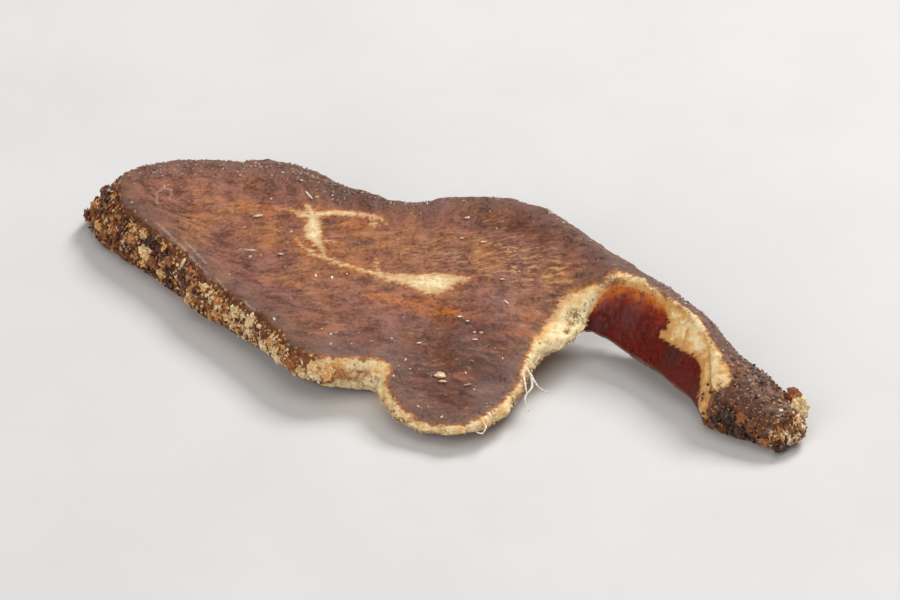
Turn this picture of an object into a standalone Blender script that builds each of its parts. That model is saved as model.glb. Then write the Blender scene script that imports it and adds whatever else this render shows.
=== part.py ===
"""One slice of biltong, cured and air-dried beef, with crushed coriander seed crusted on its rim.

The slice is one solid. It lies on its flat underside at z = 0, with its long axis along X.
A thin lobe hangs down at the front. At the right the slice narrows to a strip that has turned
half onto its edge as it dried, and that droops to a blunt end with crumbs of crust on it.
"""
import math
import random

import bmesh
import bpy
import numpy as np
from mathutils import Matrix, Vector, noise
from mathutils.geometry import delaunay_2d_cdt

# Every size below is in millimetres, and the finished mesh is in metres.
MM = 0.001
SEED = 11
ORIGIN = (-2.14, -0.60)   # the middle of the slice's box, in the plan coordinates below

# The outline of the slice seen from above, anticlockwise from its left tip.
BODY_FRONT = ((-36.0, 1.9), (-34.6, 0.0), (-32.6, -1.2), (-29.6, -2.5), (-26.0, -4.2), (-22.2, -6.5),
              (-17.9, -8.5), (-14.0, -10.4), (-11.2, -12.0), (-8.7, -13.1), (-6.6, -13.2),
              (-4.8, -12.2), (-2.9, -11.1), (-1.2, -11.0))
LOBE = ((-0.6, -12.5), (1.8, -14.1), (4.3, -14.7), (6.7, -14.4), (8.5, -13.3), (9.6, -11.4),
        (10.4, -9.1), (10.3, -6.4), (9.7, -3.7), (10.3, -0.9), (11.4, 1.0), (11.9, 2.9), (12.0, 4.8))
STRIP_FRONT = ((13.1, 6.2), (15.5, 6.6), (18.2, 6.0), (21.2, 4.8), (23.6, 3.3), (25.4, 1.3), (26.6, -0.4))
STRIP_END = ((28.2, -1.2), (30.4, -1.5), (32.3, -1.6), (33.8, -0.9), (34.6, 0.7), (33.3, 2.2))
STRIP_BACK = ((30.8, 3.4), (27.2, 4.8), (23.5, 6.8), (20.2, 8.7), (17.2, 9.8), (14.6, 9.9), (12.4, 9.8))
BODY_BACK = ((10.1, 9.9), (6.9, 11.0), (3.4, 12.4), (-0.1, 12.8), (-3.6, 12.0), (-6.6, 10.7), (-9.2, 9.3),
             (-12.7, 9.3), (-16.5, 9.8), (-20.2, 10.7), (-23.9, 10.4), (-26.9, 8.9), (-30.8, 7.6),
             (-34.2, 6.2), (-36.2, 4.2))

# The form: at a place in plan (x, y), the height of the top and the thickness below it.
FORM = (
    ((-35.0, 2.0), 5.6, 5.6), ((-30.0, -2.2), 5.1, 5.4), ((-30.0, 6.0), 6.7, 5.4), ((-22.2, -6.3), 5.0, 4.5),
    ((-22.0, 1.0), 5.7, 6.1), ((-22.0, 9.3), 7.1, 5.1), ((-14.0, -10.2), 4.9, 4.0), ((-12.0, -2.0), 5.7, 6.1),
    ((-12.0, 8.4), 7.45, 5.0), ((-7.0, -13.0), 4.6, 3.6), ((-2.0, -11.0), 4.2, 3.6), ((0.0, 0.0), 5.9, 5.7),
    ((0.0, 11.8), 8.5, 4.8), ((4.4, -14.6), 2.2, 1.1), ((3.0, -8.5), 3.8, 4.1), ((9.8, -11.0), 2.3, 1.1),
    ((10.2, -3.5), 3.3, 1.2), ((6.0, -1.0), 5.2, 4.6), ((11.6, 3.0), 4.9, 2.0), ((6.0, 6.0), 7.7, 5.2),
    ((10.0, 9.6), 9.0, 5.4), ((12.2, 6.0), 7.4, 5.0), ((15.5, 6.7), 8.1, 6.0), ((15.5, 9.8), 6.7, 5.9),
    ((21.2, 4.9), 7.9, 6.2), ((20.4, 8.6), 5.5, 5.8), ((25.4, 1.3), 7.0, 6.3), ((26.6, 5.0), 4.7, 5.1),
    ((27.2, -1.0), 4.4, 4.4), ((31.0, -1.7), 3.1, 3.4), ((34.8, 0.4), 2.9, 3.2), ((29.5, 1.5), 4.9, 5.4),
    ((30.8, 3.4), 4.1, 4.5),
)

# The lean: at a place in plan, how far the underside lies to the side of the top. It slopes the
# rim at the left tip, and it stands the strip at the right half onto its edge.
LEAN = (
    ((-36.0, 2.4), (-3.0, -0.3)), ((-29.6, -2.5), (-0.7, -0.6)), ((-31.0, 7.0), (-1.0, 0.2)),
    ((-22.0, -6.5), (-0.2, -0.3)), ((-22.0, 9.0), (0.0, 0.0)), ((-8.0, -13.0), (0.0, 0.3)),
    ((0.0, -11.0), (0.0, 0.2)), ((-8.0, 8.0), (0.0, 0.0)), ((8.0, -12.0), (0.0, 0.0)), ((2.0, 11.5), (0.0, -0.2)),
    ((6.0, 0.0), (0.0, 0.0)), ((11.5, 2.0), (-0.4, -0.3)), ((10.0, 9.5), (-0.4, -1.4)), ((15.5, 6.7), (-1.1, -2.8)),
    ((15.5, 9.8), (-1.1, -2.8)), ((21.0, 5.0), (-1.2, -3.0)), ((21.0, 8.4), (-1.2, -2.8)),
    ((25.5, 1.2), (-0.5, -1.3)), ((28.5, -1.6), (0.1, -0.3)), ((30.5, 4.0), (-0.2, -0.7)), ((35.0, 0.5), (0.2, 0.0)),
)

CORNER = 0.75            # radius that rounds the upper and lower edges of the rim
CORNER_SHARE = 0.32      # the same radius as a share of the thickness, where the slice is thin
BULGE = 0.35             # how far the rim swells out halfway down
FULL_BULGE = 3.5         # thickness at which it swells that far; a thinner rim swells less
RIM_STEP = 1.15          # spacing of the points along the rim
RIM_ROWS = 5             # strips of faces down the rim
TOP_STEP = 1.15          # spacing of the points on the upper face
UNDER_STEP = 1.6         # spacing of the points on the underside
EDGE_INSETS = (0.2, 0.7)   # rows of points just inside the rim, which carry its rounding

# Relief: how high it stands and how wide its bumps are.
WAVE = (0.32, 9.0)       # slow waves of the dried faces
GRAIN = (0.10, 2.2)      # the muscle's grain on the faces
GRAIN_STRETCH = 3.0      # the grain runs along the slice
CRAG = (0.5, 2.6)        # crags of the crusted rim
BARE_CRAG = 0.35         # their share on the bare rim, where meat or fat shows
NICK = (0.28, 3.6)       # in and out of the outline

COUNT = 128              # pieces of crushed coriander seed fused to the rim
SEED_SIZE = (0.95, 1.6)  # their smallest and largest length
SEED_FLATNESS = (1.0, 0.82, 0.62)
SEED_SUNK = 0.02         # how far a piece's middle lies under the surface, in its own lengths
SEED_JITTER = 0.16       # how far its corners stray
SEED_APART = 0.72        # least distance between two pieces, in their lengths
LEAST_CRUST = 0.08       # no seeds where the crust is thinner than this
SLIVER = 0.003           # edges shorter than this are merged after the union

# Where the crust is: a plan place, a reach around it and how thick the seeds lie there.
CRUST = (((-31.0, -2.0), 8.0, 1.0), ((-20.0, -8.0), 9.0, 1.0), ((-11.0, -12.5), 4.5, 0.8),
         ((-36.0, 3.0), 4.0, 0.8), ((35.0, 0.0), 4.5, 1.0), ((29.0, -3.0), 3.0, 0.6),
         ((-20.0, 10.0), 9.0, 0.22), ((0.0, 12.0), 8.0, 0.22), ((23.0, 9.5), 3.0, 0.4))

# Larger crumbs of crust at the strip's end: where each lies and its size.
CRUMBS = (((33.9, 2.1, 2.9), 2.1), ((33.0, 2.7, 3.4), 1.7), ((34.1, 0.8, 2.2), 1.8), ((33.6, -1.4, 1.0), 1.7))


def smooth_loop(points, step):
    """A closed Catmull-Rom curve through the points, as evenly spaced samples."""
    points = np.array(points, float)
    before, after, beyond = np.roll(points, 1, 0), np.roll(points, -1, 0), np.roll(points, -2, 0)
    fine = []
    for t in np.linspace(0, 1, 24, endpoint=False):
        fine.append(0.5 * (2 * points + (after - before) * t
                           + (2 * before - 5 * points + 4 * after - beyond) * t ** 2
                           + (3 * points - before - 3 * after + beyond) * t ** 3))
    curve = np.stack(fine, axis=1).reshape(-1, 2)
    return even(curve, step)


def even(curve, step):
    """The closed curve with its samples moved to an even spacing."""
    closed = np.vstack([curve, curve[:1]])
    along = np.concatenate([[0], np.cumsum(np.linalg.norm(np.diff(closed, axis=0), axis=1))])
    count = round(along[-1] / step)
    places = np.linspace(0, along[-1], count, endpoint=False)
    return np.stack([np.interp(places, along, closed[:, axis]) for axis in (0, 1)], axis=1)


def outward(curve):
    """Unit normals that point out of an anticlockwise curve."""
    tangent = np.roll(curve, -1, 0) - np.roll(curve, 1, 0)
    tangent /= np.linalg.norm(tangent, axis=1)[:, None]
    return np.stack([tangent[:, 1], -tangent[:, 0]], axis=1)


def ripple(place, size, depth=0.0):
    """Smooth noise from about -1 to 1 at a plan place, for bumps of the given size."""
    return noise.fractal(Vector((place[0], place[1], depth)) / size, 0.8, 2.2, 3)


def outline(step):
    """The rim line in plan, with the small nicks of its dried edge."""
    height, size = NICK
    smooth = smooth_loop(BODY_FRONT + LOBE + STRIP_FRONT + STRIP_END + STRIP_BACK + BODY_BACK, step)
    nicks = np.array([height * ripple(place, size, 5.0) for place in smooth])
    return smooth + outward(smooth) * nicks[:, None]


def thin_plate(places, values):
    """A smooth surface over the plan that passes through the values at the places."""
    places = np.array(places, float)
    count = len(places)

    def bend(points):
        gap = np.linalg.norm(points[:, None] - places[None], axis=2)
        return gap ** 2 * np.log(np.maximum(gap, 1e-6))

    flat = np.hstack([np.ones((count, 1)), places])
    system = np.zeros((count + 3, count + 3))
    system[:count, :count] = bend(places)
    system[:count, count:] = flat
    system[count:, :count] = flat.T
    weights = np.linalg.solve(system, np.concatenate([values, np.zeros(3)]))

    def surface(points):
        points = np.array(points, float)
        return bend(points) @ weights[:count] + weights[count] + points @ weights[count + 1:]

    return surface


TOP_FORM = thin_plate([place for place, top, thick in FORM], [top for place, top, thick in FORM])
THICK_FORM = thin_plate([place for place, top, thick in FORM], [thick for place, top, thick in FORM])
LEAN_X = thin_plate([place for place, lean in LEAN], [lean[0] for place, lean in LEAN])
LEAN_Y = thin_plate([place for place, lean in LEAN], [lean[1] for place, lean in LEAN])


def leaned(points, share):
    """Plan points moved by the lean, for a share of the way down from the top to the underside."""
    return points + np.stack([LEAN_X(points), LEAN_Y(points)], axis=1) * share


def inset_of(points, rim):
    """The distance of each plan point from the rim line."""
    ahead = np.roll(rim, -1, 0)
    run = ahead - rim
    length = np.sum(run ** 2, axis=1)
    offset = points[:, None] - rim[None]
    share = np.clip(np.sum(offset * run[None], axis=2) / length[None], 0, 1)
    return np.min(np.linalg.norm(offset - share[..., None] * run[None], axis=2), axis=1)


def corner_radius(points):
    return np.minimum(CORNER, CORNER_SHARE * THICK_FORM(points))


def rounding(inset, radius):
    """How far the rounded edge lies below the face, at a distance inside the rim."""
    short = np.clip(radius - inset, 0, radius)
    return radius - np.sqrt(np.maximum(radius ** 2 - short ** 2, 0))


def upper_heights(points, inset):
    """Height of the upper face at plan points, given their distance from the rim."""
    wave, wave_size = WAVE
    grain, grain_size = GRAIN
    relief = np.array([wave * ripple(p, wave_size, 1.0)
                       + grain * ripple((p[0] / GRAIN_STRETCH, p[1]), grain_size, 2.0) for p in points])
    return TOP_FORM(points) + relief - rounding(inset, corner_radius(points))


def lower_heights(points, inset):
    """Height of the underside, which lies flat on z = 0 wherever the form would go below it."""
    wave, wave_size = WAVE
    relief = np.array([wave * ripple(p, wave_size, 3.0) for p in points])
    bare = np.maximum(TOP_FORM(points) - THICK_FORM(points) + relief, 0)
    return bare + rounding(inset, corner_radius(points))


def inside(points, rim):
    """Which of the plan points lie inside the rim line."""
    x, y = points[:, :1], points[:, 1:]
    ahead = np.roll(rim, -1, 0)
    crosses = (rim[:, 1] > y) != (ahead[:, 1] > y)
    rise = np.where(ahead[:, 1] == rim[:, 1], 1e-9, ahead[:, 1] - rim[:, 1])
    at = rim[:, 0] + (y - rim[:, 1]) * (ahead[:, 0] - rim[:, 0]) / rise
    return np.sum(crosses & (x < at), axis=1) % 2 == 1


def face_points(rim, step):
    """Points inside the rim: rows that follow it and an even field of the given spacing."""
    found = []
    for inset in EDGE_INSETS:
        row = rim - outward(rim) * inset
        found.append(row[(inset_of(row, rim) > 0.93 * inset) & inside(row, rim)])
    low, high = rim.min(0), rim.max(0)
    rise = step * math.sqrt(3) / 2
    field = []
    for line, y in enumerate(np.arange(low[1], high[1], rise)):
        shift = step / 2 * (line % 2)
        field += [(x + shift, y) for x in np.arange(low[0], high[0], step)]
    field = np.array(field)
    field = field[inside(field, rim)]
    field = field[inset_of(field, rim) > EDGE_INSETS[-1] + step * 0.45]
    return np.vstack(found + [field])


def triangulated(rim, points):
    """Triangles over the rim and the points inside it, as indices with the rim's samples first."""
    loose = [Vector(p) for p in np.vstack([rim, points])]
    border = [list(range(len(rim)))]
    placed, _, triangles, _, _, _ = delaunay_2d_cdt(loose, [], border, 1, 1e-7)
    assert len(placed) == len(loose)
    return triangles


def crust_here(place):
    """How thickly the seeds lie at a plan place, from 0 to 1."""
    return max(share * math.exp(-(math.dist(place, middle) / reach) ** 2) for middle, reach, share in CRUST)


def rim_point(place, normal, share):
    """A point of the rim's side: its share of the way down from the upper edge to the lower one."""
    height, size = CRAG
    here = np.array([place])
    zero = np.zeros(1)
    top = upper_heights(here, zero)[0]
    low = lower_heights(here, zero)[0]
    z = top + (low - top) * share
    height *= BARE_CRAG + (1 - BARE_CRAG) * crust_here(place)
    crag = height * noise.fractal(Vector((place[0], place[1], z)) / size, 0.7, 2.1, 3)
    thin = min(1, THICK_FORM(here)[0] / FULL_BULGE)
    out = math.sin(math.pi * share) * (BULGE + crag) * thin
    x, y = leaned(here, share)[0] + normal * out
    return Vector((x, y, z))


def slice_mesh():
    """The slice without its seeds: upper face, underside and the strips of the rim between them."""
    rim = outline(RIM_STEP)
    normals = outward(rim)
    shell = bmesh.new()
    rows = []
    for row in range(RIM_ROWS + 1):
        share = row / RIM_ROWS
        rows.append([shell.verts.new(rim_point(p, n, share)) for p, n in zip(rim, normals)])
    for upper, lower in zip(rows, rows[1:]):
        for i in range(len(rim)):
            after = (i + 1) % len(rim)
            shell.faces.new((upper[i], lower[i], lower[after]))
            shell.faces.new((upper[i], lower[after], upper[after]))
    for heights, step, edge, under in ((upper_heights, TOP_STEP, rows[0], False),
                                       (lower_heights, UNDER_STEP, rows[-1], True)):
        points = face_points(rim, step)
        z = heights(points, inset_of(points, rim))
        placed = leaned(points, 1 if under else 0)
        verts = edge + [shell.verts.new((p[0], p[1], h)) for p, h in zip(placed, z)]
        for triangle in triangulated(rim, points):
            corners = [verts[i] for i in triangle]
            shell.faces.new(reversed(corners) if under else corners)
    return shell


def seed_piece(shell, middle, normal, size, chance):
    """One crushed piece of seed: a small uneven lump, flatter along the surface's normal."""
    lump = bmesh.ops.create_icosphere(shell, subdivisions=1, radius=size / 2)["verts"]
    for vert in lump:
        vert.co *= 1 + chance.uniform(-SEED_JITTER, SEED_JITTER)
    bmesh.ops.scale(shell, vec=Vector(SEED_FLATNESS), verts=lump)
    turn = Vector((0, 0, 1)).rotation_difference(normal).to_matrix()
    spin = Matrix.Rotation(chance.uniform(0, math.tau), 3, "Z")
    bmesh.ops.rotate(shell, cent=(0, 0, 0), matrix=turn @ spin, verts=lump)
    bmesh.ops.translate(shell, vec=middle, verts=lump)


def seed_places(chance):
    """Middles, normals and sizes of the seed pieces, spread over the crusted parts of the rim."""
    rim = outline(RIM_STEP)
    normals = outward(rim)
    places = []
    while len(places) < COUNT:
        i = chance.randrange(len(rim))
        share = chance.uniform(0.05, 0.9)
        size = chance.uniform(*SEED_SIZE)
        thickness = crust_here(rim[i])
        if thickness < LEAST_CRUST or chance.random() > thickness:
            continue
        at = rim_point(rim[i], normals[i], share)
        lean = math.cos(math.pi * share)
        normal = Vector((normals[i][0], normals[i][1], lean * 0.8)).normalized()
        middle = at - normal * SEED_SUNK * size
        middle.z = max(middle.z, size * 0.45)
        if all((middle - other).length > SEED_APART * (size + wide) / 2 for other, _, wide in places):
            places.append((middle, normal, size))
    return places


def new_object(name, shell, collection):
    """The mesh as an object in metres, with the plan place ORIGIN over the frame's origin."""
    mesh = bpy.data.meshes.new(name)
    bmesh.ops.translate(shell, vec=(-ORIGIN[0], -ORIGIN[1], 0), verts=shell.verts)
    bmesh.ops.scale(shell, vec=(MM, MM, MM), verts=shell.verts)
    shell.to_mesh(mesh)
    shell.free()
    thing = bpy.data.objects.new(name, mesh)
    collection.objects.link(thing)
    return thing


def fuse(thing, collection):
    """Join everything in the collection to the object, and remove what was joined."""
    union = thing.modifiers.new("seeds", "BOOLEAN")
    union.operation = "UNION"
    union.operand_type = "COLLECTION"
    union.collection = collection
    union.solver = "EXACT"
    graph = bpy.context.evaluated_depsgraph_get()
    joined = bpy.data.meshes.new_from_object(thing.evaluated_get(graph))
    thing.modifiers.clear()
    thing.data = joined
    for piece in list(collection.objects):
        bpy.data.objects.remove(piece)
    bpy.data.collections.remove(collection)


def keep_largest(thing):
    """Merge the union's slivers, drop its loose scraps and split the faces into triangles."""
    shell = bmesh.new()
    shell.from_mesh(thing.data)
    bmesh.ops.triangulate(shell, faces=shell.faces)
    bmesh.ops.dissolve_degenerate(shell, edges=shell.edges, dist=SLIVER * MM)
    bmesh.ops.triangulate(shell, faces=shell.faces)
    unseen = set(shell.verts)
    groups = []
    while unseen:
        group, edge = set(), [unseen.pop()]
        while edge:
            vert = edge.pop()
            group.add(vert)
            near = {link.other_vert(vert) for link in vert.link_edges} & unseen
            unseen -= near
            edge += near
        groups.append(group)
    groups.sort(key=len)
    for group in groups[:-1]:
        bmesh.ops.delete(shell, geom=list(group), context="VERTS")
    shell.to_mesh(thing.data)
    shell.free()


def dried_meat():
    material = bpy.data.materials.new("dried_meat")
    material.use_nodes = True
    shader = material.node_tree.nodes["Principled BSDF"]
    shader.inputs["Base Color"].default_value = (0.20, 0.085, 0.055, 1)
    shader.inputs["Roughness"].default_value = 0.55
    shader.inputs["Metallic"].default_value = 0
    return material


def main():
    for old in list(bpy.data.objects):
        bpy.data.objects.remove(old)
    scene = bpy.context.scene.collection
    biltong = new_object("biltong_slice", slice_mesh(), scene)
    crust = bpy.data.collections.new("crust")
    scene.children.link(crust)
    chance = random.Random(SEED)
    crumbs = [(Vector(middle), Vector((1, 0, 0.4)), size) for middle, size in CRUMBS]
    for middle, normal, size in seed_places(chance) + crumbs:
        shell = bmesh.new()
        seed_piece(shell, middle, normal, size, chance)
        new_object("seed", shell, crust)
    fuse(biltong, crust)
    keep_largest(biltong)
    biltong.data.materials.clear()
    biltong.data.materials.append(dried_meat())


main()
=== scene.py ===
"""Looks for the biltong slice: its cut face, fat, crust and spice, on a pale floor."""
import math
import random
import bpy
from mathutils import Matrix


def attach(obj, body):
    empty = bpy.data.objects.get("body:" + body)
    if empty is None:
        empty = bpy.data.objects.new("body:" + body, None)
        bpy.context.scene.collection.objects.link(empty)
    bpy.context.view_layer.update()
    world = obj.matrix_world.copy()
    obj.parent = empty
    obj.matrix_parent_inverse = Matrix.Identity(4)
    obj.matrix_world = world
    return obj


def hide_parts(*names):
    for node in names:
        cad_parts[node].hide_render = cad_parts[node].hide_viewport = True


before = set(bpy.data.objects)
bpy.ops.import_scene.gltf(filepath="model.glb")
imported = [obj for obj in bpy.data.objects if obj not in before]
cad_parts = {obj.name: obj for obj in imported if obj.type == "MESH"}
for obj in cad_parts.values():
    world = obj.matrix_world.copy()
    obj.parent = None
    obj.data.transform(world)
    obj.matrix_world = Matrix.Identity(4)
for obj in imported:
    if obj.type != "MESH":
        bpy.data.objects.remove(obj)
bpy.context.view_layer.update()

from types import SimpleNamespace

import bmesh
import bpy
import numpy as np
from mathutils import Matrix, Vector, noise
from mathutils.geometry import delaunay_2d_cdt

# Sizes are in millimetres unless a name says otherwise, and the meshes are in metres.
MM = 0.001
SEED = 11
ORIGIN = (-2.14, -0.60)   # the middle of the slice's box, in the plan coordinates below

# The outline of the slice seen from above, anticlockwise from its left tip: the body's front, the lobe,
# the strip's front, end and back, and the body's back.
OUTLINE = (
    (-36, 1.9), (-34.6, 0), (-32.6, -1.2), (-29.6, -2.5), (-26, -4.2), (-22.2, -6.5), (-17.9, -8.5),
    (-14, -10.4), (-11.2, -12), (-8.7, -13.1), (-6.6, -13.2), (-4.8, -12.2), (-2.9, -11.1), (-1.2, -11),
    (-0.6, -12.5), (1.8, -14.1), (4.3, -14.7), (6.7, -14.4), (8.5, -13.3), (9.6, -11.4), (10.4, -9.1),
    (10.3, -6.4), (9.7, -3.7), (10.3, -0.9), (11.4, 1), (11.9, 2.9), (12, 4.8), (13.1, 6.2), (15.5, 6.6),
    (18.2, 6), (21.2, 4.8), (23.6, 3.3), (25.4, 1.3), (26.6, -0.4), (28.2, -1.2), (30.4, -1.5),
    (32.3, -1.6), (33.8, -0.9), (34.6, 0.7), (33.3, 2.2), (30.8, 3.4), (27.2, 4.8), (23.5, 6.8),
    (20.2, 8.7), (17.2, 9.8), (14.6, 9.9), (12.4, 9.8), (10.1, 9.9), (6.9, 11), (3.4, 12.4), (-0.1, 12.8),
    (-3.6, 12), (-6.6, 10.7), (-9.2, 9.3), (-12.7, 9.3), (-16.5, 9.8), (-20.2, 10.7), (-23.9, 10.4),
    (-26.9, 8.9), (-30.8, 7.6), (-34.2, 6.2), (-36.2, 4.2),
)

# The form: plan x and y, the height of the top there and the thickness below it.
FORM = (
    (-35, 2, 5.6, 5.6), (-30, -2.2, 5.1, 5.4), (-30, 6, 6.7, 5.4), (-22.2, -6.3, 5, 4.5),
    (-22, 1, 5.7, 6.1), (-22, 9.3, 7.1, 5.1), (-14, -10.2, 4.9, 4), (-12, -2, 5.7, 6.1),
    (-12, 8.4, 7.45, 5), (-7, -13, 4.6, 3.6), (-2, -11, 4.2, 3.6), (0, 0, 5.9, 5.7), (0, 11.8, 8.5, 4.8),
    (4.4, -14.6, 2.2, 1.1), (3, -8.5, 3.8, 4.1), (9.8, -11, 2.3, 1.1), (10.2, -3.5, 3.3, 1.2),
    (6, -1, 5.2, 4.6), (11.6, 3, 4.9, 2), (6, 6, 7.7, 5.2), (10, 9.6, 9, 5.4), (12.2, 6, 7.4, 5),
    (15.5, 6.7, 8.1, 6), (15.5, 9.8, 6.7, 5.9), (21.2, 4.9, 7.9, 6.2), (20.4, 8.6, 5.5, 5.8),
    (25.4, 1.3, 7, 6.3), (26.6, 5, 4.7, 5.1), (27.2, -1, 4.4, 4.4), (31, -1.7, 3.1, 3.4),
    (34.8, 0.4, 2.9, 3.2), (29.5, 1.5, 4.9, 5.4), (30.8, 3.4, 4.1, 4.5),
)

# The lean: plan x and y, and how far the underside lies to the side of the top there, along each axis.
LEAN = (
    (-36, 2.4, -3, -0.3), (-29.6, -2.5, -0.7, -0.6), (-31, 7, -1, 0.2), (-22, -6.5, -0.2, -0.3),
    (-22, 9, 0, 0), (-8, -13, 0, 0.3), (0, -11, 0, 0.2), (-8, 8, 0, 0), (8, -12, 0, 0), (2, 11.5, 0, -0.2),
    (6, 0, 0, 0), (11.5, 2, -0.4, -0.3), (10, 9.5, -0.4, -1.4), (15.5, 6.7, -1.1, -2.8),
    (15.5, 9.8, -1.1, -2.8), (21, 5, -1.2, -3), (21, 8.4, -1.2, -2.8), (25.5, 1.2, -0.5, -1.3),
    (28.5, -1.6, 0.1, -0.3), (30.5, 4, -0.2, -0.7), (35, 0.5, 0.2, 0),
)

CORNER = 0.75            # radius that rounds the upper and lower edges of the rim
CORNER_SHARE = 0.32      # the same radius as a share of the thickness, where the slice is thin
BULGE = 0.35             # how far the rim swells out halfway down
FULL_BULGE = 3.5         # thickness at which it swells that far; a thinner rim swells less
CURVE_SAMPLES = 24       # first samples of the outline's curve between two of its points
COARSE_STEP = 1.15       # spacing of the rim places that carry the larger seeds
FINE_STEP = 0.2          # spacing of the points on the rim and the upper face
UNDER_STEP = 0.45        # spacing of the points on the underside
RIM_ROWS = 24            # strips of faces down the rim
EDGE_INSET = 0.09        # a row of points just inside the rim

# Relief of the solid: how high it stands and how wide its bumps are.
WAVE = (0.32, 9.0)       # slow waves of the dried faces
GRAIN = (0.10, 2.2)      # the muscle's grain on the faces
GRAIN_STRETCH = 3.0
CRAG = (0.5, 2.6)        # crags of the crusted rim
BARE_CRAG = 0.35         # how much of them the bare rim has, where meat or fat shows
NICK = (0.28, 3.6)       # in and out of the outline

# Finer relief, which only this script makes.
FRAY = (0.15, 1.1)       # the frayed edge of the cut
FIBRE = (0.04, 0.42)     # muscle fibres, stretched along the grain
FIBRE_STRETCH = 4.0
LUMP = (0.30, 1.0)       # packed lumps of the crust
GRIT = (0.14, 0.4)       # grit between them
CRUMBLE = (0.38, 0.85)   # lumps of the crumbly strip end
FAT_CRAG = (0.17, 0.6)   # the torn, porous fat of the rim
SEAM_RISE = 0.06         # fat dries less than meat and stands a little proud
HOLLOW_DEPTH = 0.45      # how far the hollows of the rim's fat sink
STRIP_SOFTENING = 6      # samples to each side over which the strip's clear face is smoothed
EDGE_RELIEF = 0.12       # how far into its half wave the rim's relief starts, as a share
RIM_FAT_LOSS = 0.12      # how much narrower the rim's fat is with each millimetre of depth
STRIP_FAT_LOSS = 1.2     # the same on the strip's clear face

# The grain runs to the upper right across the slice, and turns a little towards the rim near it.
GRAIN_TURN = math.radians(27)
TURN_REACH = 4.5         # how far from the rim it turns
TURN_SHARE = 0.22        # how much it turns beside the rim

# Larger seeds, as in the solid.
COUNT = 128
SEED_SIZE = (0.95, 1.6)
SEED_FLATNESS = (1.0, 0.82, 0.62)
SEED_SUNK = 0.02         # how deep a seed's middle lies in the rim, as a share of its size
SEED_APART = 0.72        # least gap between middles, as a share of the mean size
LEAST_CRUST = 0.08       # thickness of the crust below which there are no seeds
# The crust: plan middles of its parts with their reach and thickness, from 0 to 1.
CRUST = (((-31, -2), 8, 1), ((-20, -8), 9, 1), ((-11, -12.5), 4.5, 0.8),
         ((-36, 3), 4, 0.8), ((35, 0), 4.5, 1), ((29, -3), 3, 0.6),
         ((-20, 10), 9, 0.22), ((0, 12), 8, 0.22), ((23, 9.5), 3, 0.4))
# Single crumbs on the strip's end: middle and size.
CRUMBS = (((33.9, 2.1, 2.9), 2.1), ((33, 2.7, 3.4), 1.7), ((34.1, 0.8, 2.2), 1.8), ((33.6, -1.4, 1), 1.7))

# Fat seams on the cut face: plan places with the seam's half width at each.
SEAMS = (
    ((-17.9, 5.6, 0.1), (-17, 4.9, 0.3), (-16.4, 4.2, 0.55), (-15.7, 2.9, 0.85), (-15.2, 2.2, 0.85),
     (-14.4, 1.2, 0.5), (-13.5, 0.4, 0.25), (-12.8, -0.3, 0.2)),
    ((-16.2, 4.6, 0.45), (-14.5, 5.5, 0.38), (-12.7, 5.9, 0.36), (-11.2, 5.9, 0.3), (-10.2, 5.8, 0.2),
     (-9.2, 5.4, -0.05)),
    ((-10.7, 4.9, 0.22), (-10.3, 5, 0.22)), ((-14.3, 0.9, 0.3), (-13.6, 1.4, 0.22), (-11.7, 1.8, 0.02)),
    ((-16.8, 1.2, 0.02), (-15.1, 0, 0.12), (-13.2, -0.3, 0.18)),
    ((-15, -0.5, 0.02), (-14.2, -0.4, 0.16), (-12.6, -0.5, 0.24), (-10.4, -0.6, 0.26), (-8.6, -0.7, 0.26),
     (-7.2, -0.6, 0.3), (-5.8, -0.5, 0.45)),
    ((-7.2, -0.5, 0.22), (-7.9, 0.8, 0.1), (-8.3, 1.3, 0)),
    ((-26, 2.6, -0.3), (-24, 3.5, -0.15), (-22.4, 4, -0.08), (-20.4, 4.1, 0.02), (-18.6, 4.3, 0.2),
     (-17, 4.3, 0.45)),
    ((-5.9, -0.5, 0.35), (-4.4, -0.1, 0.7), (-2.8, 0.2, 1.1), (-1.5, 0.5, 1.2), (-0.5, 1.2, 0.7),
     (1.4, 2.1, 0)),
    ((-0.8, 0.9, 0.5), (0.9, 1.4, 0)), ((-1.1, 0.1, 0.7), (0.3, 0.5, 0)),
    ((-2, -0.5, 0.5), (-0.8, -0.6, 0.1)),
    ((26, 1.3, 0.6), (26.5, -0.1, 0.7), (27.3, 0.2, 0.75), (26.9, 0.7, 0.6)),
    ((26.6, -0.5, 0.6), (26.5, -1.8, 0.7), (26.7, -2.6, 0.5)),
)

# Fat round the rim: places on the outline with how far the fat reaches in.
RIM_FAT = (
    ((-9.2, -13.2, 0.1), (-8.4, -13.3, 0.4), (-6.6, -13.2, 0.4), (-4.8, -12.2, 0.38), (-2.9, -11.1, 0.45),
     (-1.2, -11, 0.75), (-0.6, -12.5, 0.4), (1.8, -14.1, 0.25), (4.3, -14.7, 0.35), (6.7, -14.4, 0.4),
     (8.5, -13.3, 0.4), (9.6, -11.4, 0.45), (10.4, -9.1, 0.55), (10.3, -6.4, 0.35), (9.7, -3.7, 0.4),
     (10.3, -0.9, 1.4), (11.4, 1, 2.3), (11.8, 2.9, 2.5), (12, 4.6, 1.2), (12.8, 5.9, 0.2)),
    ((12.6, 6.4, 0.1), (13.6, 6.9, 0.4), (15.4, 6.8, 0.45), (17.1, 6.5, 0.25), (20, 5.4, 0.4),
     (22.4, 4.1, 0.6), (24.4, 2.5, 0.5), (25.8, 0.9, 0.6)),
)
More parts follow.
